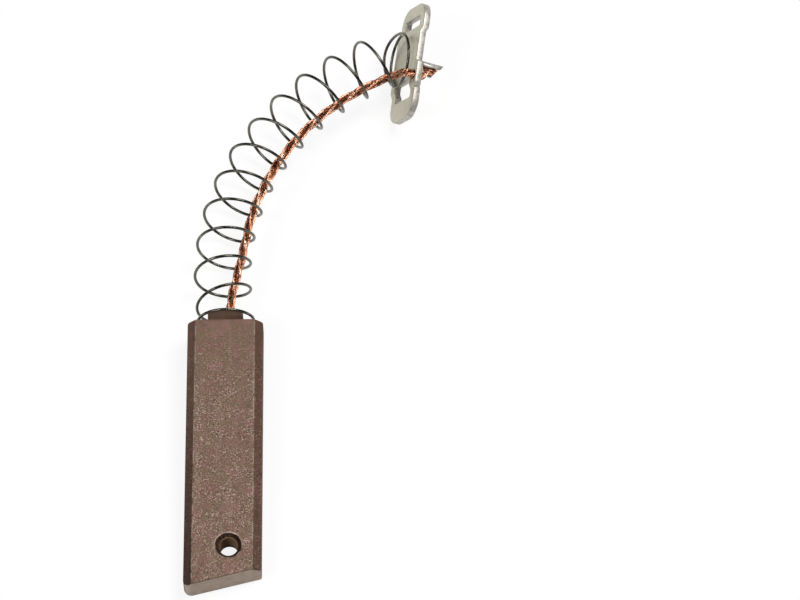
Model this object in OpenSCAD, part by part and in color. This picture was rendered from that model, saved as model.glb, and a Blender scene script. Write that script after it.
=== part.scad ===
// Carbon brush for a commutator motor: a carbon block pressed by a long
// compression spring, with a stranded copper shunt that ends in the crimp
// ear of a stamped terminal plate. All sizes are in millimetres.
//
// The brush is drawn flat in its own plane: the block's wide face is parallel
// to XY, its contact end is at the front (-Y) and the spring bends towards +X
// in the block's middle plane. The whole brush is then tipped by the few
// degrees that let the coils, which are wider than the block is thick, lie on
// the ground, and is moved so that the middle of its footprint is the origin.

/* [Carbon block] */
// Width of the block across its wide face
block_w = 12.5; // [10:0.1:16]
// Thickness of the block
block_t = 5; // [4:0.1:8]
// Length of the block along its longer side
block_l = 47.6; // [30:0.1:60]
// Leg of the bevel along the two upper long edges
edge_bevel = 1.4; // [0.4:0.1:1.8]
// Angle of the contact face away from square
contact_angle = 14; // [0:1:25]
// Radius of the worn toe, at the longer side of the contact face
toe_r = 1.2; // [0.3:0.1:2]
// Radius of the three other corners of the wide face
corner_r = 0.35; // [0.1:0.05:1]
// Diameter of the cross hole near the contact end
hole_d = 3; // [2:0.1:4.5]
// Distance of the cross hole from the toe
hole_from_toe = 7; // [5:0.1:14]
// Distance of the cross hole from the block's centre line
hole_aside = 1; // [-1.5:0.1:1.5]
// Width of the countersink ring round the cross hole
countersink = 0.7; // [0.1:0.05:0.8]
// Width of the spigot that centres the spring
spigot_w = 5.8; // [5:0.1:7]
// Height of the spigot
spigot_h = 1.8; // [0.6:0.1:3]
// Step from the block's wide faces in to the spigot
spigot_step = 0.5; // [0.2:0.1:0.8]

/* [Copper shunt] */
// Diameter of the stranded copper lead
strand_d = 1.35; // [1:0.05:1.8]
// Diameter of the tamped copper powder that holds the lead in the block
plug_d = 2.4; // [2:0.1:3.2]
// Depth of the tamped powder, from the top of the spigot
plug_depth = 6; // [3:0.5:12]
// Height that the tamped powder stands proud of the spigot
plug_proud = 0.2; // [0.1:0.05:0.5]
// Sideways reach of the lead towards the inner side of the bend
strand_aside = 3.3; // [0:0.1:3.4]

/* [Spring] */
// Diameter of the spring wire
wire_d = 0.5; // [0.3:0.05:0.7]
// Outer diameter of the spring
spring_od = 9.75; // [9:0.05:12]
// Number of open turns
open_turns = 11.6; // [6:0.05:16]
// Pitch of the open turns
spring_pitch = 5.5; // [3:0.1:8]
// Radius to which the spring's centre line is bent
bend_r = 44.5; // [30:0.5:90]
// Lean of the spring away from the bend where it leaves the block
start_lean = 11.5; // [0:0.5:15]
// Number of closed turns at each end
closed_turns = 1; // [0.75:0.25:2]

/* [Terminal plate] */
// Length of the plate
plate_l = 20.9; // [18:0.1:26]
// Width of the plate
plate_w = 9.6; // [9:0.1:12]
// Thickness of the plate's metal
plate_t = 1.2; // [0.8:0.1:1.5]
// Radius of the plate's corners
plate_corner_r = 3; // [1:0.1:4]
// Height of the pressed step between the plate's ends and its middle
joggle = 0.4; // [0:0.1:0.8]
// Length of the plate's pressed middle
middle_l = 10.4; // [8:0.1:12]
// Length of the fixing slots, across the plate
slot_l = 6.2; // [4:0.1:7]
// Distance of the slots from the middle of the plate's width
slot_aside = 0; // [-0.5:0.1:0.8]
// Width of the slot in the far end
far_slot_w = 1.9; // [1.5:0.1:3]
// Width of the window in the near end
near_slot_w = 3.2; // [2:0.1:5]
// Distance from the plate's far end to the slot in it
far_margin = 2.3; // [1.5:0.1:3]
// Distance from the plate's near end to the window in it
near_margin = 3.6; // [2:0.1:5]
// Reach of the crimp ear behind the plate
ear_l = 3.9; // [3:0.1:6]
// Thickness of the crimp ear's metal
ear_t = 0.5; // [0.3:0.05:0.8]
// Lean of the plate back from upright
plate_lean = 25; // [0:1:35]
// Turn of the plate in its own plane
plate_roll = 14; // [0:1:25]
// Turn of the plate about the upright
plate_yaw = 2.5; // [0:0.5:10]
// Distance from the spring's middle to the plate's middle, along the plate
seat_along = 0.4; // [0:0.1:2]
// Angle between the spring's last turn and the plate that it is seated on
seat_lean = 5.5; // [2:0.5:10]

/* [Hidden] */
ROUND = 64;
EPS = 0.01;

// ---- shared fits
fit_gap = 0.02;      // between a piece and the hole that it fills
seat_gap = 0.05;     // between the spring's end turns and what they press on
lead_gap = 0.15;     // between the lead and the hole in the plate
coil_r = (spring_od - wire_d) / 2;
closed_pitch = wire_d + fit_gap;

// ---- how the brush lies: the toe's rear edge and the first coils touch the ground
lie_angle = asin((spring_od - block_t) / 2 / block_l);
up = [0, sin(lie_angle), cos(lie_angle)]; // the vertical, seen from the brush's own frame

// ---- small helpers
function unit(v) = v / norm(v);
// v turned by an angle about the unit vector k
function turned(v, k, a) = v * cos(a) + cross(k, v) * sin(a) + k * (k * v) * (1 - cos(a));
function bezier(a, b, c, d, t) =
    pow(1 - t, 3) * a + 3 * pow(1 - t, 2) * t * b + 3 * (1 - t) * t * t * c + pow(t, 3) * d;
// points of an arc of radius r that rounds the corner b between a and c
function rounded(a, b, c, r, n = 8) =
    let (u = unit(a - b), v = unit(c - b), half = acos(u * v) / 2, m = b + unit(u + v) * r / sin(half),
         s = b + u * r / tan(half) - m, e = b + v * r / tan(half) - m,
         a0 = atan2(s.y, s.x), d = atan2(e.y, e.x) - a0, da = d > 180 ? d - 360 : d < -180 ? d + 360 : d)
    [for (i = [0:n]) m + r * [cos(a0 + da * i / n), sin(a0 + da * i / n)]];
// a closed outline with every corner rounded by its own radius
function outline(pts, radii, n = 8) =
    let (m = len(pts))
    [for (i = [0:m - 1]) each rounded(pts[(i + m - 1) % m], pts[i], pts[(i + 1) % m], radii[i], n)];

// ---- the plate's own frame: x away from the spring, y towards the far end, z across the plate
function tip(v) =
    let (y = v.y * cos(plate_roll) - v.z * sin(plate_roll), z = v.y * sin(plate_roll) + v.z * cos(plate_roll))
    turned([v.x * cos(plate_lean) + z * sin(plate_lean), y, -v.x * sin(plate_lean) + z * cos(plate_lean)],
        [0, 0, 1], -plate_yaw);
plate_n = tip([1, 0, 0]);
plate_far = tip([0, 1, 0]);
plate_q = tip([0, 0, 1]);

// ---- centre line of the spring, in the brush's own plane
mid_z = block_t / 2;
seat_y = block_l + seat_gap + wire_d / 2;
all_turns = open_turns + 2 * closed_turns;
open_l = open_turns * (spring_pitch - closed_pitch);
end_run = open_l + all_turns * closed_pitch;
TURN_STEPS = 24;   // wire sections for each turn
STEPS = ceil(all_turns * TURN_STEPS);
PITCH_EASE = 0.15; // half of the part of a turn in which the pitch opens
OPEN_PHASE = 168;  // direction of the wire, round the centre line, where the open turns begin

function smooth(x) = x <= 0 ? 0 : x >= 1 ? 1 : x * x * (3 - 2 * x);
function eased(u) = u <= -PITCH_EASE ? 0 : u >= PITCH_EASE ? u : pow(u + PITCH_EASE, 2) / (4 * PITCH_EASE);
// length along the centre line after a number of turns
function run_at(turn) = closed_pitch * turn + (spring_pitch - closed_pitch)
    * (eased(turn - closed_turns) - eased(turn - closed_turns - open_turns));
// heading of the centre line, in degrees from +X, after a number of turns
function heading(turn) =
    let (v = min(max(turn - closed_turns, 0), open_turns))
    90 + start_lean * smooth(2 * v) - v * spring_pitch / bend_r * 180 / PI;
function along(h) = [cos(h), sin(h), 0];
function leftward(h) = [-sin(h), cos(h), 0];
function turn_of(i) = i * all_turns / STEPS;
// over the last half of an open turn the spring tilts until its closed turn is seated on the plate
end_dir = along(heading(all_turns));
tilt_axis = unit(cross(end_dir, plate_n));
tilt = acos(end_dir * plate_n) - seat_lean;
function tilted(v, turn) =
    turned(v, tilt_axis, tilt * smooth(2 * (turn - closed_turns - open_turns) + 1));
// points of the centre line, one for each wire section
line_pts = [for (i = 0, p = [0, seat_y, mid_z]; i <= STEPS;
    p = p + tilted(along(heading(turn_of(i + 0.5))), turn_of(i + 0.5)) * (run_at(turn_of(i + 1)) - run_at(turn_of(i))),
    i = i + 1) p];
// outward direction of the wire from the centre line
function coil_dir(turn) =
    let (a = OPEN_PHASE + 360 * (turn - closed_turns), h = heading(turn))
    tilted(cos(a) * leftward(h) + sin(a) * [0, 0, 1], turn);
wire_pts = [for (i = [0:STEPS]) line_pts[i] + coil_r * coil_dir(turn_of(i))];
wire_sides = [for (i = [0:STEPS]) coil_dir(turn_of(i))];
end_pt = line_pts[STEPS];

// ---- a tube of n sides round a list of points
function tangent(pts, i) = unit(pts[min(i + 1, len(pts) - 1)] - pts[max(i - 1, 0)]);
function ring(at, t, side, r, n) =
    let (b = unit(cross(t, side)), s = cross(b, t))
    [for (k = [0:n - 1]) at + r * (cos(360 * k / n) * s + sin(360 * k / n) * b)];
module tube(pts, sides, r, n) {
    m = len(pts);
    rings = [for (i = [0:m - 1]) each ring(pts[i], tangent(pts, i), sides[i], r, n)];
    polyhedron(rings, concat(
        [[for (k = [0:n - 1]) k]],
        [for (i = [0:m - 2]) for (k = [0:n - 1]) let (a = i * n, j = (k + 1) % n)
            each [[a + k, a + n + j, a + j], [a + k, a + n + k, a + n + j]]],
        [[for (k = [n - 1:-1:0]) (m - 1) * n + k]]));
}

// ---- where the plate stands
// how far the last turn's wire reaches towards the plate, past the end of the centre line
last_turn = [for (i = [STEPS - TURN_STEPS:STEPS]) (wire_pts[i] - end_pt) * plate_n];
face_gap = max(last_turn) + wire_d / 2 + seat_gap;
// the plate slides across the spring's end until its near lower corner reaches the ground
g = [up * plate_n, up * plate_far, up * plate_q];
corner_y = plate_l / 2 - plate_corner_r;
corner_z = plate_w / 2 - plate_corner_r;
seat_across = (up * end_pt + g.x * (face_gap + joggle + plate_t) - g.y * (seat_along + corner_y)
    - g.z * corner_z - plate_corner_r * norm([g.y, g.z])) / g.z;
plate_at = end_pt + plate_n * face_gap - plate_far * seat_along - plate_q * seat_across;
function on_plate(v) = plate_at + tip(v);

// ---- the crimp ear and the hole for the lead, in the plate's frame
lead_hole_r = strand_d / 2 + lead_gap;
ear_h = 2 * ear_t + strand_d + 2 * fit_gap;
ear_w = 1.5 * strand_d;
ear_y = -0.5 * strand_d;                          // the ear's closed side
lead_y = ear_y - ear_w - 0.4 * strand_d;
lead_z = plate_w / 2 - 0.3 * strand_d;
lip_h = lead_hole_r;                // how far the lip rises over the plate's edge
ear_z = lead_z - ear_h / 2;

// ---- the lead's path
PLUG_FLOOR = 1; // powder below the end of the lead
lead_from = block_l + spigot_h - plug_depth + PLUG_FLOOR;
LEAD_STEP = 8;  // the lead takes every eighth point of the spring's centre line
lead_last = STEPS - 1.5 * TURN_STEPS;
function reach(turn) = strand_aside * sin(90 * min(1, max(0, turn - closed_turns) / 3));
lead_free = [for (i = [closed_turns * TURN_STEPS + LEAD_STEP:LEAD_STEP:lead_last])
    line_pts[i] - leftward(heading(turn_of(i))) * reach(turn_of(i))];
lead_in = concat([for (x = [-1.4 * strand_d, -0.7 * strand_d, 0, plate_t]) on_plate([x, lead_y, lead_z])],
    [on_plate([plate_t + 0.6 * strand_d, lead_y + 0.2 * strand_d, lead_z]),
        on_plate([plate_t + 0.9 * strand_d, lead_y + strand_d, lead_z])]);
lead_a = lead_free[len(lead_free) - 1];
lead_dir = unit(lead_a - lead_free[len(lead_free) - 2]);
lead_span = norm(lead_in[0] - lead_a) / 3;
lead_turn = [for (t = [0.125:0.125:0.9])
    bezier(lead_a, lead_a + lead_dir * lead_span, lead_in[0] - plate_n * lead_span, lead_in[0], t)];
lead_pts = concat([for (y = [lead_from, block_l, block_l + spigot_h + plug_proud, block_l + spigot_h + 2.5 * plug_proud]) [0, y, mid_z]],
    lead_free, lead_turn, lead_in);

module carbon_block() {
    w = block_w / 2;
    color([0.2, 0.19, 0.18])
    difference() {
        union() {
            intersection() {
                linear_extrude(block_t)
                    polygon(outline([[-w, 0], [w, block_w * tan(contact_angle)], [w, block_l], [-w, block_l]],
                        [toe_r, corner_r, corner_r, corner_r]));
                translate([0, block_l + 1, 0]) rotate([90, 0, 0]) linear_extrude(block_l + 2)
                    polygon([[-w, 0], [w, 0], [w, block_t - edge_bevel], [w - edge_bevel, block_t],
                        [edge_bevel - w, block_t], [-w, block_t - edge_bevel]]);
            }
            translate([-spigot_w / 2, block_l - 1, spigot_step])
                cube([spigot_w, spigot_h + 1, block_t - 2 * spigot_step]);
        }
        translate([hole_aside, hole_from_toe, 0]) {
            translate([0, 0, -1]) cylinder(d = hole_d, h = block_t + 2, $fn = ROUND);
            translate([0, 0, block_t - countersink])
                cylinder(d1 = hole_d, d2 = hole_d + 2 * countersink + 2 * EPS, h = countersink + EPS, $fn = ROUND);
            translate([0, 0, -EPS])
                cylinder(d1 = hole_d + 2 * countersink + 2 * EPS, d2 = hole_d, h = countersink + EPS, $fn = ROUND);
        }
        translate([0, block_l + spigot_h - plug_depth, mid_z]) rotate([-90, 0, 0])
            cylinder(d = plug_d + 2 * fit_gap, h = plug_depth + 1, $fn = ROUND);
    }
}

module powder_plug() {
    r = plug_d / 2;
    bore = strand_d / 2 + fit_gap;
    h = plug_depth + plug_proud - fit_gap;
    color([0.45, 0.27, 0.2])
    translate([0, block_l + spigot_h - plug_depth + fit_gap, mid_z]) rotate([-90, 0, 0])
        rotate_extrude($fn = ROUND)
            polygon([[0, 0], [r, 0], [r, h - plug_proud], [r - plug_proud, h], [bore, h],
                [bore, PLUG_FLOOR - 2 * fit_gap], [0, PLUG_FLOOR - 2 * fit_gap]]);
}

module copper_strand() {
    color([0.72, 0.38, 0.24]) {
        tube(lead_pts, [for (p = lead_pts) [0, 0, 1]], strand_d / 2, 8);
        // the lead's flattened end, pressed in the ear
        translate(plate_at) rotate([plate_roll, plate_lean, -plate_yaw])
        translate([plate_t + lead_gap, 0, ear_z + ear_t + fit_gap]) linear_extrude(strand_d)
            polygon([[0, ear_y - ear_t - fit_gap], [ear_l - 2 * lead_gap, ear_y - ear_t - fit_gap],
                [ear_l - 2 * lead_gap - 0.7 * ear_w, ear_y - ear_w + lead_gap], [0, ear_y - ear_w + lead_gap]]);
    }
}

module pressure_spring() {
    color([0.3, 0.3, 0.31]) tube(wire_pts, wire_sides, wire_d / 2, 8);
}

// the plate's flat outline in y and z, made as an x-y drawing
module plate_outline(y0, y1) {
    intersection() {
        polygon(outline([[-plate_l / 2, -plate_w / 2], [plate_l / 2, -plate_w / 2],
            [plate_l / 2, plate_w / 2], [-plate_l / 2, plate_w / 2]],
            [for (i = [0:3]) plate_corner_r]));
        translate([y0, -plate_w]) square([y1 - y0, 2 * plate_w]);
    }
}

// turns an x-y drawing with a thickness into the plate's frame
module upright(x0, t) {
    translate([x0, 0, 0]) rotate([90, 0, 90]) linear_extrude(t) children();
}

module terminal_plate() {
    m = middle_l / 2;
    color([0.72, 0.71, 0.66])
    translate(plate_at) rotate([plate_roll, plate_lean, -plate_yaw])
    difference() {
        union() {
            upright(joggle, plate_t) plate_outline(-plate_l, -m);
            upright(0, plate_t) plate_outline(-m - EPS, m + EPS);
            upright(joggle, plate_t) plate_outline(m, plate_l);
            // the lip over the lead's hole
            upright(0, plate_t) polygon(outline([[lead_y - 1.6 * strand_d, plate_w / 2 - 1],
                [ear_y, plate_w / 2 - 1], [ear_y, plate_w / 2 + lip_h], [lead_y - 1.2 * strand_d, plate_w / 2 + lip_h]],
                [0.1, 0.1, 0.5 * lip_h, 0.5 * lip_h]));
            // the crimp ear: two leaves joined at its closed side
            difference() {
                translate([plate_t - EPS, 0, ear_z]) linear_extrude(ear_h)
                    polygon([[0, ear_y], [ear_l, ear_y], [ear_l - 0.7 * ear_w, ear_y - ear_w], [0, ear_y - ear_w]]);
                translate([plate_t - 1, ear_y - ear_w - 1, ear_z + ear_t])
                    cube([ear_l + 2, ear_w + 1 - ear_t, ear_h - 2 * ear_t]);
                translate([plate_t + lead_gap, ear_y - ear_w - 1, ear_z + ear_t])
                    cube([ear_l + 2, 0.55 * ear_w + 1, ear_h]);
            }
        }
        // slots
        upright(-1, plate_t + joggle + 2) {
            translate([plate_l / 2 - far_margin - far_slot_w, slot_aside - slot_l / 2])
                square([far_slot_w, slot_l]);
            translate([near_margin - plate_l / 2, slot_aside - slot_l / 2]) square([near_slot_w, slot_l]);
        }
        // hole for the lead
        translate([-1, lead_y, lead_z]) rotate([0, 90, 0])
            cylinder(r = lead_hole_r, h = plate_t + 1 + lead_gap, $fn = 32);
    }
}

// ---- the brush is tipped to lie on the ground and moved over the origin
level_y = [0, cos(lie_angle), -sin(lie_angle)]; // the ground's Y, seen from the brush's own frame
ear_tip = on_plate([plate_t + ear_l, ear_y, ear_z + ear_h]);
far_reach = level_y * plate_at + corner_y * (level_y * plate_far) - corner_z * (level_y * plate_q)
    + plate_corner_r * norm([level_y * plate_far, level_y * plate_q]);
module lay_down() {
    translate([-(ear_tip.x - block_w / 2) / 2, -far_reach / 2, 0]) rotate([lie_angle, 0, 0]) children();
}

lay_down() carbon_block();
lay_down() powder_plug();
lay_down() copper_strand();
lay_down() pressure_spring();
lay_down() terminal_plate();
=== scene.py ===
import math
from functools import partial

import bmesh
import bpy
import numpy as np
from mathutils import Matrix, Vector


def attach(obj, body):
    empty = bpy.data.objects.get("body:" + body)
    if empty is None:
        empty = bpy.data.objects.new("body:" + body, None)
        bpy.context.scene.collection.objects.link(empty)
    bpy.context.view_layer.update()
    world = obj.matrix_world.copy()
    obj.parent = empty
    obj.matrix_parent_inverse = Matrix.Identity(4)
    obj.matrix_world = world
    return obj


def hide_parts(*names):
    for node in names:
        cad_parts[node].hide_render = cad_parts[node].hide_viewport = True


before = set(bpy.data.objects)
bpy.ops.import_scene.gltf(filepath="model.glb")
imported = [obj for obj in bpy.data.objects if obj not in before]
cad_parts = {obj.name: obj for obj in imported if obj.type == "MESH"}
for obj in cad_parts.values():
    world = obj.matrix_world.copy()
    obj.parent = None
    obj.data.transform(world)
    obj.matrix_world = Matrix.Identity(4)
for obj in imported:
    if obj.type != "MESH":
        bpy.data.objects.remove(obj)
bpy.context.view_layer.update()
MM = 0.001

# ---------------------------------------- sizes, in mm, as in the part's source
BLOCK_W, BLOCK_T, BLOCK_L = 12.5, 5.0, 47.6
HOLE_D, HOLE_Y, HOLE_X, COUNTERSINK = 3.0, 7.0, 1.0, 0.7
SPIGOT_H, PLUG_PROUD = 1.8, 0.2
STRAND_D, STRAND_ASIDE = 1.35, 3.3
WIRE_D, SPRING_OD, PITCH = 0.5, 9.75, 5.5
OPEN_TURNS, CLOSED = 11.6, 1.0  # CLOSED is the number of closed turns at each end
BEND_R, START_LEAN, START_ANGLE = 44.5, 11.5, 168
PLATE_L, PLATE_W, PLATE_T, PLATE_R = 20.9, 9.6, 1.2, 3.0
JOGGLE, MIDDLE_L, SLOT_L = 0.4, 10.4, 6.2
FAR_W, NEAR_W, FAR_MARGIN, NEAR_MARGIN = 1.9, 3.2, 2.3, 3.6
EAR_L, EAR_T = 3.9, 0.5
LEAN, ROLL, YAW, SEAT_ALONG, SEAT_LEAN = 25.0, 14.0, 2.5, 0.4, 5.5
FIT, SEAT, LEAD_GAP = 0.02, 0.05, 0.15

COIL_R = (SPRING_OD - WIRE_D) / 2
CLOSED_PITCH = WIRE_D + FIT
LIE = math.asin((SPRING_OD - BLOCK_T) / 2 / BLOCK_L)  # the block tilts a little, because the spring is wider
MID_Z = BLOCK_T / 2
TURNS = OPEN_TURNS + 2 * CLOSED
EASE = 0.15  # in turns, how gently the pitch opens and closes


def rot(axis, degrees):
    return np.array(Matrix.Rotation(math.radians(degrees), 3, axis))


def unit(v):
    return v / np.linalg.norm(v)


def smooth(x):
    x = np.clip(x, 0, 1)
    return x * x * (3 - 2 * x)


def turned(v, k, degrees):
    """v turned about the unit vector k."""
    a = math.radians(degrees)
    return v * math.cos(a) + np.cross(k, v) * math.sin(a) + k * np.dot(k, v) * (1 - math.cos(a))


# how the plate is turned: its axes point out of its face, to its far end and across it
TIP = rot("Z", -YAW) @ rot("Y", LEAN) @ rot("X", ROLL)
PLATE_N, PLATE_FAR, PLATE_Q = TIP[:, 0], TIP[:, 1], TIP[:, 2]
UP = np.array([0, math.sin(LIE), math.cos(LIE)])


# ---------------------------------------- the spring's centre line and wire
def eased(u):
    """0 before 0 and u after it, with a smooth turn between."""
    return 0 if u <= -EASE else u if u >= EASE else (u + EASE) ** 2 / (4 * EASE)


def run_at(turn):
    """The length of the centre line up to a turn."""
    open_turns = eased(turn - CLOSED) - eased(turn - CLOSED - OPEN_TURNS)
    return CLOSED_PITCH * turn + (PITCH - CLOSED_PITCH) * open_turns


def heading(turn):
    """Which way the centre line runs at a turn: it leaves the block at a lean and then follows an arc."""
    v = min(max(turn - CLOSED, 0), OPEN_TURNS)
    return math.radians(90 + START_LEAN * smooth(2 * v)) - v * PITCH / BEND_R


def along(h):
    return np.array([math.cos(h), math.sin(h), 0])


def leftward(h):
    return np.array([-math.sin(h), math.cos(h), 0])


END_DIR = along(heading(TURNS))
TILT_AXIS = unit(np.cross(END_DIR, PLATE_N))
TILT = math.degrees(math.acos(END_DIR @ PLATE_N)) - SEAT_LEAN


def tilted(v, turn):
    """v tilted with the last turn, which comes to lie on the plate."""
    return turned(v, TILT_AXIS, TILT * smooth(2 * (turn - CLOSED - OPEN_TURNS) + 1))


SUB = 72  # steps in one turn
STEPS = math.ceil(TURNS * SUB / 3) * 3
line = [np.array([0, BLOCK_L + SEAT + WIRE_D / 2, MID_Z])]
for i in range(STEPS):
    t = (i + 0.5) * TURNS / STEPS
    step = run_at((i + 1) * TURNS / STEPS) - run_at(i * TURNS / STEPS)
    line.append(line[-1] + tilted(along(heading(t)), t) * step)
line = np.array(line)


def turn_of(i):
    return i * TURNS / STEPS


def coil_dir(turn):
    """Which way the wire lies from the centre line at a turn."""
    a, h = math.radians(START_ANGLE + 360 * (turn - CLOSED)), heading(turn)
    return tilted(math.cos(a) * leftward(h) + math.sin(a) * np.array([0, 0, 1.0]), turn)


wire = np.array([line[i] + COIL_R * coil_dir(turn_of(i)) for i in range(STEPS + 1)])
END = line[-1]

# ---------------------------------------- where the plate stands
face_gap = max((wire[i] - END) @ PLATE_N for i in range(STEPS - SUB, STEPS + 1, 3)) + WIRE_D / 2 + SEAT
rise = np.array([UP @ PLATE_N, UP @ PLATE_FAR, UP @ PLATE_Q])  # how steeply each of the plate's axes rises
CORNER_Y, CORNER_Z = PLATE_L / 2 - PLATE_R, PLATE_W / 2 - PLATE_R
seat_across = (UP @ END + rise[0] * (face_gap + JOGGLE + PLATE_T) - rise[1] * (SEAT_ALONG + CORNER_Y)
               - rise[2] * CORNER_Z - PLATE_R * math.hypot(rise[1], rise[2])) / rise[2]
PLATE_AT = END + PLATE_N * face_gap - PLATE_FAR * SEAT_ALONG - PLATE_Q * seat_across

# the lead's hole in the plate and the ear, from the strand's diameter
HOLE_R = STRAND_D / 2 + LEAD_GAP
EAR_H = 2 * EAR_T + STRAND_D + 2 * FIT
EAR_W = 1.5 * STRAND_D
EAR_Y = -0.5 * STRAND_D
LEAD_Y = EAR_Y - EAR_W - 0.4 * STRAND_D
LEAD_Z = PLATE_W / 2 - 0.3 * STRAND_D
LIP_H = HOLE_R
EAR_Z = LEAD_Z - EAR_H / 2


def on_plate(x, y, z):
    return PLATE_AT + TIP @ np.array([x, y, z])


# ---------------------------------------- from the brush's own frame to the row
LEVEL_Y = np.array([0, math.cos(LIE), -math.sin(LIE)])
far_reach = (LEVEL_Y @ PLATE_AT + CORNER_Y * (LEVEL_Y @ PLATE_FAR) - CORNER_Z * (LEVEL_Y @ PLATE_Q)
             + PLATE_R * math.hypot(LEVEL_Y @ PLATE_FAR, LEVEL_Y @ PLATE_Q))
ear_tip = on_plate(PLATE_T + EAR_L, EAR_Y, EAR_Z + EAR_H)
OFFSET = np.array([-(ear_tip[0] - BLOCK_W / 2) / 2, -far_reach / 2, 0])
LAY = rot("X", math.degrees(LIE))
SHOULDER_Y = BLOCK_L * math.cos(LIE) + OFFSET[1] - 0.3  # the end of the ground faces, in the row
HOLE_ROW, RIM_ROW = [(HOLE_X + OFFSET[0], HOLE_Y * math.cos(LIE) - z * math.sin(LIE) + OFFSET[1], 0)
                     for z in (MID_Z, BLOCK_T)]  # the hole's axis at the block's middle and at its upper face
RIM_R = HOLE_D / 2 + COUNTERSINK


def to_row(points):
    return (np.asarray(points) @ LAY.T + OFFSET) * MM


# ---------------------------------------- nodes
def linear(code):
    """An sRGB hex colour as linear RGBA."""
    rgb = [int(code[i:i + 2], 16) / 255 for i in (0, 2, 4)]
    return [c / 12.92 if c <= 0.04045 else ((c + 0.055) / 1.055) ** 2.4 for c in rgb] + [1]


def feed(socket, value):
    """Give an input its value: a number, a hex colour or another node's output."""
    if hasattr(value, "is_output"):
        socket.id_data.links.new(value, socket)
    else:
        socket.default_value = linear(value) if isinstance(value, str) else value


def add_node(tree, kind, *values, out=None, stops=(), **named):
    """Add a node with its settings and links, and return its first output or the one called out.
    The values go to its inputs in their order, and stops, of grey values or hex colours, to its
    colour ramp. A name in small letters is a setting, and any other name is an input's."""
    node = tree.nodes.new(kind)
    for name, value in named.items():
        if name.islower():
            setattr(node, name, value)
    for socket, value in zip([socket for socket in node.inputs if socket.enabled], values):
        feed(socket, value)
    for name, value in named.items():
        if not name.islower():
            feed(node.inputs[name], value)
    if stops:
        marks = node.color_ramp.elements
        while len(marks) < len(stops):
            marks.new(0.5)
        for mark, (position, shade) in zip(marks, stops):
            mark.position = position
            mark.color = linear(shade) if isinstance(shade, str) else (shade, shade, shade, 1)
    shown = [socket for socket in node.outputs if socket.enabled]
    return node.outputs[out] if out else shown[0] if shown else node


# ---------------------------------------- objects
def loose(name, data):
    obj = bpy.data.objects.new(name, data)
    bpy.context.scene.collection.objects.link(obj)
    return obj


def add_object(name, mesh, material=None, replaces=()):
    obj = loose(name, mesh)
    if material:
        mesh.materials.clear()
        mesh.materials.append(material)
    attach(obj, "root")
    if replaces:
        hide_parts(*replaces)
    return obj


def finished(obj):
    """obj's mesh with its modifiers applied, as a plain mesh."""
    bpy.context.view_layer.update()
    mesh = bpy.data.meshes.new_from_object(obj.evaluated_get(bpy.context.evaluated_depsgraph_get()))
    bpy.data.objects.remove(obj)
    return mesh


def outward(mesh):
    """Turn the mesh's faces outwards."""
    bm = bmesh.new()
    bm.from_mesh(mesh)
    bmesh.ops.recalc_face_normals(bm, faces=bm.faces)
    bm.to_mesh(mesh)
    bm.free()


def sweep_tree():
    """A Geometry Nodes tree that sweeps a round section along every spline, and its inputs' identifiers."""
    tree = bpy.data.node_groups.new("sweep_wire", "GeometryNodeTree")
    tree.interface.new_socket(name="Geometry", in_out="INPUT", socket_type="NodeSocketGeometry")
    tree.interface.new_socket(name="Geometry", in_out="OUTPUT", socket_type="NodeSocketGeometry")
    keys = {}
    for name, kind in (("Radius", "Float"), ("Sides", "Int"), ("Material", "Material")):
        socket = tree.interface.new_socket(name=name, in_out="INPUT", socket_type="NodeSocket" + kind)
        keys[name] = socket.identifier
    add = partial(add_node, tree)
    given = add("NodeGroupInput").node.outputs
    section = add("GeometryNodeCurvePrimitiveCircle", Resolution=given["Sides"], Radius=given["Radius"])
    wires = add("GeometryNodeCurveToMesh", given["Geometry"], section, **{"Fill Caps": True})
    wires = add("GeometryNodeSetShadeSmooth", wires)
    wires = add("GeometryNodeRealizeInstances", wires)
    add("NodeGroupOutput", add("GeometryNodeSetMaterial", wires, Material=given["Material"]))
    return tree, keys


SWEEP, SWEEP_KEYS = sweep_tree()


def swept(name, paths, radius, sides, material):
    """Every path as a round wire, made by the Geometry Nodes tree, as one plain mesh."""
    curve = bpy.data.curves.new(name + "_path", "CURVE")
    curve.dimensions = "3D"
    for path in paths:
        spline = curve.splines.new("POLY")
        spline.points.add(len(path) - 1)
        spline.points.foreach_set("co", np.hstack([path, np.ones((len(path), 1))]).ravel())
    obj = loose(name + "_path", curve)
    mod = obj.modifiers.new("sweep", "NODES")
    mod.node_group = SWEEP
    for key, value in (("Radius", radius), ("Sides", sides), ("Material", material)):
        mod[SWEEP_KEYS[key]] = value
    mesh = finished(obj)
    mesh.name = name
    outward(mesh)
    return mesh


# ---------------------------------------- materials
# A noise takes its coordinates, scale, detail and roughness. At a scale of 1 its patches are about 1 mm.
MATH, VECTOR, MIX = "ShaderNodeMath", "ShaderNodeVectorMath", "ShaderNodeMix"
NOISE, RAMP, SPREAD, BUMP = "ShaderNodeTexNoise", "ShaderNodeValToRGB", "ShaderNodeMapRange", "ShaderNodeBump"
COORDS, MAPPING, SURFACE = "ShaderNodeTexCoord", "ShaderNodeMapping", "ShaderNodeNewGeometry"
SPLIT, JOIN = "ShaderNodeSeparateXYZ", "ShaderNodeCombineXYZ"
COVER = {"data_type": "RGBA"}  # one colour over another
TINT = {"data_type": "RGBA", "blend_type": "MULTIPLY"}  # one colour times another


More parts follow.
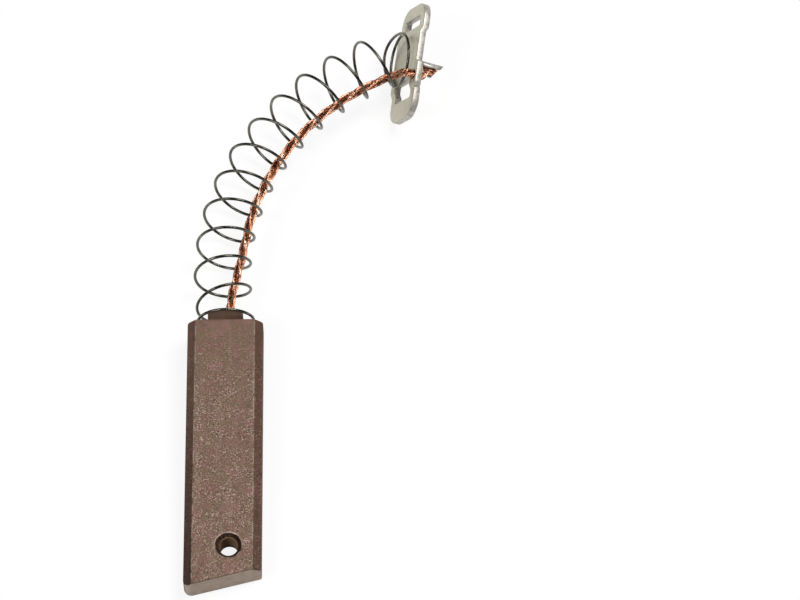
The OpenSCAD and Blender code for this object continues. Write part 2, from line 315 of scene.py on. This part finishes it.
def new_material(name, colour, rough, metal=0.0, specular=0.5):
    """A material, a way to add nodes to it, and its object coordinates in millimetres."""
    mat = bpy.data.materials.new(name)
    mat.use_nodes = True
    mat.diffuse_color = linear(colour)
    inputs = mat.node_tree.nodes["Principled BSDF"].inputs
    feed(inputs["Base Color"], colour)
    feed(inputs["Roughness"], rough)
    feed(inputs["Metallic"], metal)
    feed(inputs["Specular IOR Level"], specular)
    add = partial(add_node, mat.node_tree)
    return mat, add, add(MAPPING, add(COORDS, out="Object"), Scale=(1000, 1000, 1000))


def dressed(mat, colour, rough=None, relief=None):
    """The material with its patterns on the shader."""
    inputs = mat.node_tree.nodes["Principled BSDF"].inputs
    for name, value in (("Base Color", colour), ("Roughness", rough), ("Normal", relief)):
        if value is not None:
            feed(inputs[name], value)
    return mat


def carbon_material():
    """Pressed electrographite: brown-grey, matt, with pale and dark grains. The ground faces are paler; the
    bevels, the sides, the spigot and the hole are painted darker, as painted shade, and a pale line along the
    long edges is a painted highlight. The real grains are under 0.1 mm, and these are about 0.3 mm so that
    they show."""
    mat, add, mm = new_material("pressed_electrographite", "7F6556", 0.6, 0.0, 0.35)
    x, y = add(SPLIT, mm).node.outputs[:2]
    normal = add(SPLIT, add(SURFACE, out="True Normal")).node.outputs
    flat = add(MATH, normal["Z"], operation="ABSOLUTE")
    toward_toe = add(MATH, normal["Y"], -1.0, operation="MULTIPLY")

    # the cross hole: its bore, the whole of it with its cone, and a thin line round its rim, which gets a
    # painted highlight
    above = add(JOIN, x, y)
    from_hole = add(VECTOR, above, HOLE_ROW, operation="DISTANCE")
    from_rim = add(VECTOR, above, RIM_ROW, operation="DISTANCE")
    in_bore = add(MATH, from_hole, HOLE_D / 2 + 0.05, operation="LESS_THAN")
    in_hole = add(MATH, from_hole, RIM_R + 0.1, operation="LESS_THAN")
    outside = add(MATH, 1.0, in_hole, operation="SUBTRACT")
    past_rim = add(MATH, from_rim, RIM_R + 0.06, operation="SUBTRACT")
    rim_highlight = add(MATH, add(MATH, past_rim, operation="ABSOLUTE"), 0.09, operation="LESS_THAN")

    # the contact face with the round of its toe, the other ground faces, and the toe's edge between them
    upward = add(RAMP, flat, stops=[(0.12, 0.0), (0.3, 1.0)])
    sideways = add(MATH, 1.0, upward, operation="SUBTRACT")
    toe_round = add(RAMP, toward_toe, stops=[(0.45, 0.0), (0.7, 1.0)])
    toe_round = add(MATH, toe_round, sideways, operation="MULTIPLY")
    contact = add(RAMP, toward_toe, stops=[(0.9, 0.0), (0.95, 1.0)])
    contact = add(MATH, contact, toe_round, operation="MAXIMUM")
    contact = add(MATH, contact, outside, operation="MULTIPLY")
    below_shoulder = add(MATH, y, SHOULDER_Y, operation="LESS_THAN")
    ground = add(RAMP, flat, stops=[(0.93, 0.0), (0.967, 1.0)])
    ground = add(MATH, ground, below_shoulder, operation="MULTIPLY")
    ground = add(MATH, ground, contact, operation="MAXIMUM")
    toe_edge = add(RAMP, toward_toe, stops=[(0.12, 0.0), (0.22, 1.0), (0.92, 1.0), (0.955, 0.0)])
    toe_edge = add(MATH, toe_edge, add(MATH, outside, upward, operation="MULTIPLY"), operation="MULTIPLY")

    # the ground carbon: mottled, with drag marks along it, and grains that gather towards the contact end
    mottle = [(0.3, "746248"), (0.43, "8C665B"), (0.53, "7E6850"), (0.66, "966C65")]
    base = add(RAMP, add(NOISE, mm, 0.28, 3, 0.6), stops=mottle)
    streak = add(NOISE, add(MAPPING, mm, Scale=(1.0, 0.07, 1.0)), 0.9, 3, 0.6)
    base = add(MIX, add(RAMP, streak, stops=[(0.5, 0.0), (0.68, 0.45)]), base, "9C8070", **COVER)
    toward_contact = add(SPREAD, y, SHOULDER_Y - 11, SHOULDER_Y - 1.5, 1.0, 0.2)
    grainy = add(RAMP, add(NOISE, mm, 0.55, 3, 0.6), stops=[(0.4, 0.3), (0.54, 1.0)])
    grainy = add(MATH, grainy, toward_contact, operation="MULTIPLY")
    dark = add(RAMP, add(NOISE, mm, 3.4, 2, 0.55), stops=[(0.36, 0.85), (0.46, 0.0)])
    base = add(MIX, add(MATH, dark, grainy, operation="MULTIPLY"), base, "4A352B", **COVER)
    pale = add(RAMP, add(NOISE, mm, 4.2, 2, 0.6), stops=[(0.54, 0.0), (0.64, 0.9)])
    base = add(MIX, add(MATH, pale, grainy, operation="MULTIPLY"), base, "D3BCAA", **COVER)
    # the contact face painted paler: partly its bedded finish, partly painted light
    bedded_and_lit = add(RAMP, add(NOISE, mm, 0.8, 4, 0.6), stops=[(0.35, "CAB29F"), (0.65, "DFC8B6")])
    base = add(MIX, contact, base, bedded_and_lit, **COVER)

    # painted shade: the faces that are not ground are darker, most of all those turned to the left, on the
    # spigot, in the hole and along the toe's edge
    shaded_faces = add(MIX, 1.0, base, "C6B8AE", **TINT)
    # painted shade: the faces turned to the left are darkened, more towards the contact end
    left_shade = add(SPREAD, y, SHOULDER_Y - 5, SHOULDER_Y - 45, 0.0, 1.0)
    to_the_left = add(MATH, normal["X"], -0.3, operation="LESS_THAN")
    left_shade = add(MATH, left_shade, to_the_left, operation="MULTIPLY")
    shaded_faces = add(MIX, left_shade, shaded_faces, add(MIX, 1.0, shaded_faces, "ACA08C", **TINT), **COVER)
    # painted shade: the spigot is darkened
    on_spigot = add(MATH, y, SHOULDER_Y + 0.6, operation="GREATER_THAN")
    shaded_faces = add(MIX, on_spigot, shaded_faces, add(MIX, 1.0, shaded_faces, "E2EEE8", **TINT), **COVER)
    # painted shade: the hole and its cone are darkened
    shaded_faces = add(MIX, in_hole, shaded_faces, add(MIX, 1.0, shaded_faces, "A4968A", **TINT), **COVER)
    # painted light: the bore's wall is painted paler than the darkened cone round it
    bore = add(RAMP, add(NOISE, mm, 1.6, 2, 0.6), stops=[(0.35, "8E7258"), (0.6, "A08368")])
    shaded_faces = add(MIX, in_bore, shaded_faces, bore, **COVER)
    # painted shade: a dark line along the toe's rounded edge
    shaded_faces = add(MIX, toe_edge, shaded_faces, "3A2A20", **COVER)

    # painted highlights: a pale line on the rounded arrises, and on the half of the hole's rim away from the
    # contact end
    not_toe = add(MATH, 1.0, toe_edge, operation="SUBTRACT")
    edge_highlight = add(RAMP, flat, stops=[(0.74, 0.0), (0.8, 1.0), (0.96, 1.0), (0.99, 0.0)])
    edge_highlight = add(MATH, edge_highlight, add(MATH, not_toe, in_hole, operation="MAXIMUM"), operation="MULTIPLY")
    patchy = add(RAMP, add(NOISE, mm, 1.1, 3, 0.6), stops=[(0.4, 0.15), (0.58, 0.9)])
    edge_highlight = add(MATH, edge_highlight, patchy, operation="MULTIPLY")
    far_half = add(SPREAD, y, RIM_ROW[1] - 0.6, RIM_ROW[1] + 0.8, 0.0, 1.0)
    rim_highlight_patches = add(RAMP, add(NOISE, mm, 0.6, 2, 0.6), stops=[(0.4, 0.2), (0.56, 1.0)])
    rim_highlight_patches = add(MATH, far_half, rim_highlight_patches, operation="MULTIPLY")
    rim_highlight = add(MATH, add(MATH, rim_highlight, ground, operation="MULTIPLY"), rim_highlight_patches, operation="MULTIPLY")
    colour = add(MIX, edge_highlight, add(MIX, ground, shaded_faces, base, **COVER), "BDA799", **COVER)
    # painted highlight: a pale line on the far half of the hole's rim
    colour = add(MIX, rim_highlight, colour, "F0DCC8", **COVER)

    fine = add(NOISE, mm, 3.2, 3, 0.65)
    rough = add(RAMP, fine, stops=[(0.3, 0.5), (0.7, 0.72)])
    rough = add(MATH, rough, in_hole, operation="MAXIMUM")
    relief = add(BUMP, Height=fine, Strength=0.6, Distance=0.06 * MM)
    relief = add(BUMP, Height=streak, Strength=0.3, Distance=0.1 * MM, Normal=relief)
    return dressed(mat, colour, rough, relief)


def copper_material():
    """Soft copper wire, drawn and left bare: pink where it is clean, brown where it has tarnished."""
    mat, add, mm = new_material("bare_copper_wire", "D89A7E", 0.28, 1.0)
    clean = add(RAMP, add(NOISE, mm, 0.7, 3, 0.6), stops=[(0.3, "C48059"), (0.5, "E8AC8A"), (0.7, "FDD8C2")])
    tarnish = add(RAMP, add(NOISE, mm, 1.8, 3, 0.6), stops=[(0.36, 0.9), (0.48, 0.0)])
    rough = add(RAMP, add(NOISE, mm, 2.5, 3, 0.6), stops=[(0.3, 0.15), (0.7, 0.3)])
    return dressed(mat, add(MIX, tarnish, clean, "6E2A18", **COVER), rough)


def crevice_shade_material():
    """The same copper, dark red-brown, for the cores inside the bundles: painted shade in the crevices
    between the wires.
    """
    mat, add, mm = new_material("copper_crevice_shade", "6A2E1E", 0.5, 0.9)
    colour = add(RAMP, add(NOISE, mm, 1.5, 3, 0.6), stops=[(0.35, "4A1A10"), (0.65, "8A4630")])
    rough = add(RAMP, add(NOISE, mm, 3, 3, 0.6), stops=[(0.3, 0.4), (0.7, 0.6)])
    return dressed(mat, colour, rough)


def steel_material():
    """Drawn spring steel with a thin dark oxide: nearly black from the side, with pale streaks."""
    mat, add, mm = new_material("drawn_spring_steel", "5A5954", 0.3, 1.0)
    oxide = [(0.3, "4C4A44"), (0.55, "6C6960"), (0.75, "96928A")]
    colour = add(RAMP, add(NOISE, mm, 0.5, 4, 0.6), stops=oxide)
    rough = add(RAMP, add(NOISE, mm, 3, 3, 0.6), stops=[(0.3, 0.2), (0.7, 0.36)])
    return dressed(mat, colour, rough)


def tin_material():
    """Brass sheet, dip tinned: a satin warm grey, streaked where the edges are sheared, and painted darker on
    the arrises between, as painted shade."""
    mat, add, mm = new_material("tinned_sheet_metal", "CFC9B7", 0.42, 0.45)
    base = add(RAMP, add(NOISE, mm, 0.2, 4, 0.55), stops=[(0.3, "D3D1B8"), (0.5, "DCD8C1"), (0.7, "E5DFCB")])
    cloudy = add(RAMP, add(NOISE, mm, 1.3, 4, 0.7), stops=[(0.52, 0.0), (0.72, 0.5)])
    base = add(MIX, cloudy, base, "C2BDA8", **COVER)
    facing = add(VECTOR, add(SURFACE, out="Normal"), tuple(LAY @ PLATE_N), operation="DOT_PRODUCT")
    facing = add(MATH, facing, operation="ABSOLUTE")
    edge = add(RAMP, facing, stops=[(0.25, 1.0), (0.6, 0.0)])
    # painted shade: the arrises between the face and the sheared edges are darkened
    arris_shade = add(RAMP, facing, stops=[(0.45, 0.0), (0.6, 0.6), (0.78, 0.6), (0.87, 0.0)])
    streaks = [(0.36, "ABA599"), (0.48, "CAC5BB"), (0.66, "DEDAD2")]
    sheared = add(RAMP, add(NOISE, mm, 1.2, 3, 0.65), stops=streaks)
    colour = add(MIX, arris_shade, add(MIX, edge, base, sheared, **COVER), "8C887A", **COVER)
    rough = add(RAMP, add(NOISE, mm, 1.2, 4, 0.6), stops=[(0.3, 0.32), (0.7, 0.52)])
    relief = add(BUMP, Height=add(NOISE, mm, 2.2, 4, 0.6), Strength=0.3, Distance=0.04 * MM)
    return dressed(mat, colour, rough, relief)


def powder_material():
    """Copper powder tamped round the lead: rough, with bright grains. The real grains are under
    0.1 mm, and these are about 0.2 mm so that they show."""
    mat, add, mm = new_material("tamped_copper_powder", "B0765C", 0.5, 0.8)
    grains = add(NOISE, mm, 5, 3, 0.7)
    colour = add(RAMP, grains, stops=[(0.35, "8A5540"), (0.5, "C98B6E"), (0.65, "F3CDB4")])
    return dressed(mat, colour, None, add(BUMP, Height=grains, Strength=0.8, Distance=0.08 * MM))


CARBON, COPPER, CREVICE_SHADE = carbon_material(), copper_material(), crevice_shade_material()
STEEL, TIN, POWDER = steel_material(), tin_material(), powder_material()


# ---------------------------------------- carbon block: the CAD shape with rubbed edges
FLAT_FROM = 7.0  # faces larger than this, in square mm, are ground flat
SHARP_FROM, RUBBED_R = 30, 0.16  # edges sharper than this, in degrees, are rubbed round by this, in mm


def block_mesh():
    """The CAD block with its sharp edges rubbed round and its ground faces flat."""
    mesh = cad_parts["carbon_block"].data.copy()
    bm = bmesh.new()
    bm.from_mesh(mesh)
    bmesh.ops.remove_doubles(bm, verts=bm.verts, dist=1e-7)
    bmesh.ops.dissolve_limit(bm, angle_limit=math.radians(1), verts=bm.verts, edges=bm.edges)
    sharp = [e for e in bm.edges if len(e.link_faces) == 2 and e.calc_face_angle() > math.radians(SHARP_FROM)]
    bmesh.ops.bevel(bm, geom=sharp, offset=RUBBED_R * MM, segments=3, profile=0.6, affect="EDGES",
                    clamp_overlap=True)
    bmesh.ops.recalc_face_normals(bm, faces=bm.faces)
    for face in bm.faces:
        face.smooth = face.calc_area() < FLAT_FROM * MM * MM
    bm.to_mesh(mesh)
    bm.free()
    mesh.name = "carbon_block_body"
    return mesh


block = add_object("carbon_block_body", block_mesh(), CARBON, ["carbon_block"])
block.modifiers.new("normals", "WEIGHTED_NORMAL").keep_sharp = True

# ---------------------------------------- spring
add_object("spring_wire", swept("spring_wire", [to_row(wire[::2])], WIRE_D / 2 * MM, 12, STEEL),
           None, ["pressure_spring"])


# ---------------------------------------- the lead: a rope of three bundles of fine wires
def bezier(a, b, c, d, t):
    return (1 - t) ** 3 * a + 3 * (1 - t) ** 2 * t * b + 3 * (1 - t) * t * t * c + t ** 3 * d


def reach(turn):
    """How far the lead lies to the inner side of the coil's centre line: all the way after three turns."""
    return STRAND_ASIDE * math.sin(math.radians(90 * min(1, max(0, turn - CLOSED) / 3)))


LEAD_STEP = 24  # one point of the lead for so many steps of the wire
lead_free = [line[i] - leftward(heading(turn_of(i))) * reach(turn_of(i))
             for i in range(int(CLOSED * SUB) + LEAD_STEP, int(STEPS - 1.5 * SUB) + 1, LEAD_STEP)]
lead_in = [on_plate(x, LEAD_Y, LEAD_Z) for x in (-0.8 * STRAND_D, 0, PLATE_T)]
lead_in += [on_plate(PLATE_T + 0.5 * STRAND_D, LEAD_Y + 0.4 * STRAND_D, LEAD_Z),
            on_plate(PLATE_T + 0.65 * STRAND_D, LEAD_Y + 1.1 * STRAND_D, LEAD_Z)]
lead_dir = unit(lead_free[-1] - lead_free[-2])
span = 0.7 * np.linalg.norm(lead_in[0] - lead_free[-1]) / 3
lead_turn = [bezier(lead_free[-1], lead_free[-1] + lead_dir * span, lead_in[0] - PLATE_N * span, lead_in[0],
                    k / 8) for k in range(1, 8)]
top = BLOCK_L + SPIGOT_H
lead = np.array([[0, y, MID_Z] for y in (top - 1.5, top + PLUG_PROUD, top + 2.5 * PLUG_PROUD)]
                + lead_free + lead_turn + lead_in)


def resampled(points, step):
    """Points a step apart on a smoothed curve through the given ones, and each one's length along it."""
    out = []
    for i in range(len(points) - 1):
        p0, p1, p2, p3 = (points[min(max(j, 0), len(points) - 1)] for j in (i - 1, i, i + 1, i + 2))
        n = max(2, int(np.linalg.norm(p2 - p1) / 0.05))
        for k in range(n):
            t = k / n
            out.append(0.5 * (2 * p1 + (p2 - p0) * t + (2 * p0 - 5 * p1 + 4 * p2 - p3) * t * t
                              + (3 * p1 - p0 - 3 * p2 + p3) * t ** 3))
    out = np.array(out + [points[-1]])
    for _ in range(12):
        out[1:-1] = (out[:-2] + 2 * out[1:-1] + out[2:]) / 4
    length = np.concatenate([[0], np.cumsum(np.linalg.norm(np.diff(out, axis=0), axis=1))])
    at = np.linspace(0, length[-1], int(length[-1] / step))
    return np.stack([np.interp(at, length, out[:, k]) for k in range(3)], 1), at


def frames(points):
    """A side and an up vector at each point, carried along without twist."""
    tangents = np.gradient(points, axis=0)
    tangents /= np.linalg.norm(tangents, axis=1)[:, None]
    side = unit(np.cross(tangents[0], [0, 0, 1.0]))
    sides = []
    for t in tangents:
        side = unit(side - t * (side @ t))
        sides.append(side)
    return np.array(sides), np.cross(tangents, np.array(sides))


def helix_round(points, at, radius, lay, start, wander=0.0, seed=0.0):
    """A strand that winds round a path, one turn for each lay length."""
    sides, ups = frames(points)
    a = start + at / lay * 2 * math.pi
    r = radius * (1 + wander * np.sin(at * 0.9 + seed) * np.sin(at * 0.37 + 2.1 * seed))
    return points + (np.cos(a) * r)[:, None] * sides + (np.sin(a) * r)[:, None] * ups


# real wires of this size are under 0.1 mm thick and more in number, so these are drawn coarser to show
BUNDLES, FINE_WIRES, FINE_R = 3, 11, 0.08
BUNDLE_R = STRAND_D / (2 + math.sqrt(3))  # so that the narrow way across the rope is the strand's diameter
BUNDLE_OUT = 2 * BUNDLE_R / math.sqrt(3)  # three bundles that touch
BUNDLE_LAY, FINE_LAY = -13.0, 9.0  # the length of one turn, left-handed where it is negative
rope, at = resampled(lead, 0.25)
bundles = [helix_round(rope, at, BUNDLE_OUT, BUNDLE_LAY, k * 2 * math.pi / BUNDLES, 0.04, k * 1.7)
           for k in range(BUNDLES)]
fine = [helix_round(bundle, at, BUNDLE_R - FINE_R, FINE_LAY, j * 2 * math.pi / FINE_WIRES + k,
                    0.06, j * 2.3 + k) for k, bundle in enumerate(bundles) for j in range(FINE_WIRES)]
add_object("copper_lead", swept("copper_lead", [to_row(s) for s in fine], FINE_R * MM, 5, COPPER),
           None, ["copper_strand"])
# the bundles' cores, in dark copper as painted shade in the crevices
add_object("copper_lead_core", swept("copper_lead_core", [to_row(c) for c in bundles],
                                     (BUNDLE_R - 1.2 * FINE_R) * MM, 12, CREVICE_SHADE), None)

# ---------------------------------------- terminal plate
PLATE_TO_ROW = Matrix.Identity(4)
for r in range(3):
    for c in range(3):
        PLATE_TO_ROW[r][c] = float((LAY @ TIP)[r, c]) * MM
    PLATE_TO_ROW[r][3] = float(to_row(PLATE_AT)[r])


def arc_corner(a, b, c, r, n=8):
    """The corner at b between a and c, as an arc of radius r in n steps."""
    a, b, c = map(np.array, (a, b, c))
    u, v = unit(a - b), unit(c - b)
    half = math.acos(np.clip(u @ v, -1, 1)) / 2
    m = b + unit(u + v) * r / math.sin(half)
    s, e = b + u * r / math.tan(half) - m, b + v * r / math.tan(half) - m
    a0 = math.atan2(s[1], s[0])
    d = (math.atan2(e[1], e[0]) - a0 + math.pi) % (2 * math.pi) - math.pi
    return [m + r * np.array([math.cos(a0 + d * i / n), math.sin(a0 + d * i / n)]) for i in range(n + 1)]


def rounded(corners):
    """A closed outline from (y, z, radius) corners."""
    out = []
    for i, (y, z, r) in enumerate(corners):
        before, after = corners[i - 1], corners[(i + 1) % len(corners)]
        out += arc_corner(before[:2], (y, z), after[:2], r, 10 if r > 1 else 5)
    return out


SHEARED_R = 0.14  # the round of the plate's sheared edges
JOGGLE_RUN = 0.55  # half the length of the slope at each side of the pressed middle
WINDOW_R = 0.3


def plate_mesh():
    """The stamped plate, drawn flat as an outline with its three openings, thickened, and pressed."""
    h, w = PLATE_L / 2 - 0.01, PLATE_W / 2
    outer = rounded([(-h, -w, PLATE_R), (h, -w, PLATE_R), (h, w, PLATE_R), (EAR_Y, w, 0.12),
                     (EAR_Y, w + LIP_H, 0.5 * LIP_H), (LEAD_Y - 1.2 * STRAND_D, w + LIP_H, 0.5 * LIP_H),
                     (LEAD_Y - 1.55 * STRAND_D, w, 0.2), (-h, w, PLATE_R)])
    loops = [outer]
    for y0, y1 in ((h - FAR_MARGIN - FAR_W, h - FAR_MARGIN), (NEAR_MARGIN - h, NEAR_MARGIN - h + NEAR_W)):
        z0, z1 = -SLOT_L / 2, SLOT_L / 2
        loops.append(rounded([(y, z, WINDOW_R) for y, z in ((y0, z0), (y1, z0), (y1, z1), (y0, z1))]))
    loops.append([(LEAD_Y + HOLE_R * math.cos(a), LEAD_Z + HOLE_R * math.sin(a))
                  for a in np.linspace(0, 2 * math.pi, 32, endpoint=False)])
    curve = bpy.data.curves.new("plate_outline", "CURVE")
    curve.dimensions = "2D"
    curve.fill_mode = "BOTH"
    curve.extrude = PLATE_T / 2 - SHEARED_R
    curve.bevel_depth = SHEARED_R
    curve.bevel_resolution = 2
    curve.offset = -SHEARED_R
    for loop in loops:
        spline = curve.splines.new("POLY")
        spline.points.add(len(loop) - 1)
        for point, (y, z) in zip(spline.points, loop):
            point.co = (y, z, 0, 1)
        spline.use_cyclic_u = True
    mesh = finished(loose("plate_outline", curve))
    bm = bmesh.new()
    bm.from_mesh(mesh)
    bmesh.ops.remove_doubles(bm, verts=bm.verts, dist=1e-4)
    for side in (-1, 1):
        for k in range(-5, 6):
            cut = side * (MIDDLE_L / 2 + JOGGLE_RUN * k / 5)
            bmesh.ops.bisect_plane(bm, geom=bm.verts[:] + bm.edges[:] + bm.faces[:], dist=1e-5,
                                   plane_co=(cut, 0, 0), plane_no=(1, 0, 0))
    for v in bm.verts:
        y, z, x = v.co
        x += PLATE_T / 2 + JOGGLE * float(smooth((abs(y) - MIDDLE_L / 2 + JOGGLE_RUN) / (2 * JOGGLE_RUN)))
        v.co = PLATE_TO_ROW @ Vector((x, y, z))
    bmesh.ops.recalc_face_normals(bm, faces=bm.faces)
    for face in bm.faces:
        face.smooth = True
    bm.to_mesh(mesh)
    bm.free()
    mesh.name = "terminal_plate_sheet"
    return mesh


add_object("terminal_plate_sheet", plate_mesh(), TIN, ["terminal_plate"])

EAR_FOLD_R, EAR_SLANT = 0.62, 0.7


def ear_mesh():
    """The crimp ear: a strip folded over the lead's flattened end, with a slanted free end."""
    r = EAR_FOLD_R
    yc, zl, zh = EAR_Y - r, EAR_Z + r, EAR_Z + EAR_H - r
    path = [(EAR_Y - EAR_W + (EAR_W - r) * k / 6, EAR_Z + EAR_T / 2) for k in range(7)]
    path += [(yc + (r - EAR_T / 2) * math.sin(a), zl - (r - EAR_T / 2) * math.cos(a))
             for a in np.linspace(0.2, math.pi / 2, 6)]
    path += [(yc + (r - EAR_T / 2) * math.cos(a), zh + (r - EAR_T / 2) * math.sin(a))
             for a in np.linspace(0, math.pi / 2, 7)]
    path += [(yc - (0.45 * EAR_W - r) * k / 3, EAR_Z + EAR_H - EAR_T / 2) for k in range(1, 4)]
    path = np.array(path)
    t = np.gradient(path, axis=0)
    t /= np.linalg.norm(t, axis=1)[:, None]
    normal = np.stack([t[:, 1], -t[:, 0]], 1) * EAR_T / 2
    bm = bmesh.new()
    rows = []
    for p, n in zip(path, normal):
        row = []
        for sign in (1, -1):
            y, z = p + sign * n
            end = PLATE_T + EAR_L - EAR_SLANT * min(max(EAR_Y - y, 0), EAR_W)
            for x in (PLATE_T - 0.05, PLATE_T + 0.5 * (end - PLATE_T), end):
                row.append(bm.verts.new(PLATE_TO_ROW @ Vector((x, y, z))))
        rows.append(row)
    for a, b in zip(rows, rows[1:]):
        for i, j in ((0, 1), (1, 2), (2, 5), (5, 4), (4, 3), (3, 0)):
            bm.faces.new((a[i], a[j], b[j], b[i]))
    for end in (rows[0], rows[-1]):
        bm.faces.new((end[0], end[1], end[4], end[3]))
        bm.faces.new((end[1], end[2], end[5], end[4]))
    bmesh.ops.recalc_face_normals(bm, faces=bm.faces)
    sharp = [e for e in bm.edges if len(e.link_faces) == 2 and e.calc_face_angle() > math.radians(50)]
    bmesh.ops.bevel(bm, geom=sharp, offset=0.1 * MM, segments=2, profile=0.5, affect="EDGES")
    for face in bm.faces:
        face.smooth = True
    mesh = bpy.data.meshes.new("crimp_ear")
    bm.to_mesh(mesh)
    bm.free()
    return mesh


add_object("crimp_ear", ear_mesh(), TIN)

# the lead's flattened end: bundles pressed side by side in the ear
PRESSED_R, PRESSED_APART = 0.21, 0.42
pressed = []
for row in range(3):
    for col in range(3):
        y = EAR_Y - EAR_T - 0.25 - col * PRESSED_APART
        z = EAR_Z + EAR_T + 0.25 + row * PRESSED_APART
        x1 = PLATE_T + EAR_L - 0.35 - EAR_SLANT * (EAR_Y - y)
        pressed.append([on_plate(x, y + 0.03 * math.sin(3 * x + row), z + 0.03 * math.sin(4 * x + col))
                        for x in np.linspace(PLATE_T + 0.2, x1, 14)])
pressed_mesh = swept("copper_lead_end", [to_row(p) for p in pressed], PRESSED_R * MM, 8, COPPER)
add_object("copper_lead_end", pressed_mesh, None)

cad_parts["powder_plug"].data.materials.clear()
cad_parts["powder_plug"].data.materials.append(POWDER)


# ---------------------------------------- floor, lights, camera
FLOOR_GLOW = 1.16
FLOOR_SHOWN = 0.75  # the rest is the matt floor, so a faint shadow stays


def white_material():
    """A matt white studio floor, which shows mostly as plain white where it is seen or reflected."""
    mat = bpy.data.materials.new("white_studio_floor")
    mat.use_nodes = True
    mat.node_tree.nodes.clear()
    add = partial(add_node, mat.node_tree)
    rays = add("ShaderNodeLightPath").node.outputs
    seen = add(MATH, rays["Is Camera Ray"], rays["Is Glossy Ray"], operation="MAXIMUM")
    seen = add(MATH, seen, rays["Is Transmission Ray"], operation="MAXIMUM")
    shown = add(MATH, seen, FLOOR_SHOWN, operation="MULTIPLY")
    matt = add("ShaderNodeBsdfDiffuse", Color=(0.7, 0.7, 0.7, 1))
    glow = add("ShaderNodeEmission", Strength=FLOOR_GLOW)
    add("ShaderNodeOutputMaterial", add("ShaderNodeMixShader", shown, matt, glow))
    return mat


bm = bmesh.new()
bmesh.ops.create_grid(bm, x_segments=1, y_segments=1, size=3)
floor_mesh = bpy.data.meshes.new("floor")
bm.to_mesh(floor_mesh)
bm.free()
floor = loose("floor", floor_mesh)
floor_mesh.materials.append(white_material())

world = bpy.data.worlds.new("studio")
bpy.context.scene.world = world
world.use_nodes = True
add = partial(add_node, world.node_tree)
toward = add(SPLIT, add(COORDS, out="Generated")).node.outputs
# a dim room above and in front of the table, a pale wall behind it, and a white backdrop low down all round
room = add(SPREAD, toward["Y"], -0.3, 0.75, 0.1, 1.3, interpolation_type="SMOOTHSTEP")
high = add(SPREAD, toward["Z"], 0.1, 0.35, 0.0, 1.0, interpolation_type="SMOOTHSTEP")
feed(world.node_tree.nodes["Background"].inputs["Strength"], add(MIX, high, 1, room))


def area_light(name, place, size, power):
    """A round lamp that is aimed at the middle of the row."""
    light = bpy.data.lights.new(name, "AREA")
    light.shape = "DISK"
    light.size = size
    light.energy = power
    obj = loose(name, light)
    obj.location = place
    obj.rotation_euler = (-Vector(place)).to_track_quat("-Z", "Y").to_euler()


area_light("key", (0.28, 0.10, 0.60), size=0.35, power=2.8)
area_light("fill", (-0.35, -0.25, 0.50), size=0.30, power=1.4)

# the camera: its direction in degrees, its distance and what it looks at in mm
AZIMUTH, ELEVATION, DISTANCE = -0.59, 60, 600
LOOK_AT, ASIDE, HIGHER = (14, 50, 3), 14.93, 2.84
azimuth, elevation = math.radians(AZIMUTH), math.radians(ELEVATION)
back = np.array([math.sin(azimuth) * math.cos(elevation), -math.cos(azimuth) * math.cos(elevation),
                 math.sin(elevation)])
right = np.array([math.cos(azimuth), math.sin(azimuth), 0])
up = np.cross(back, right)
aim = np.array(LOOK_AT) + ASIDE * right + HIGHER * up + OFFSET
eye = (aim + DISTANCE * back) * MM
camera = bpy.data.cameras.new("camera")
camera.lens = 162
camera.sensor_width = 36
camera.clip_start = 0.01
camera_obj = loose("camera", camera)
turn = Matrix(np.stack([right, up, back], 1).tolist()).to_4x4()
camera_obj.matrix_world = Matrix.Translation(eye.tolist()) @ turn
bpy.context.scene.camera = camera_obj
bpy.context.scene.view_settings.view_transform = "Standard"
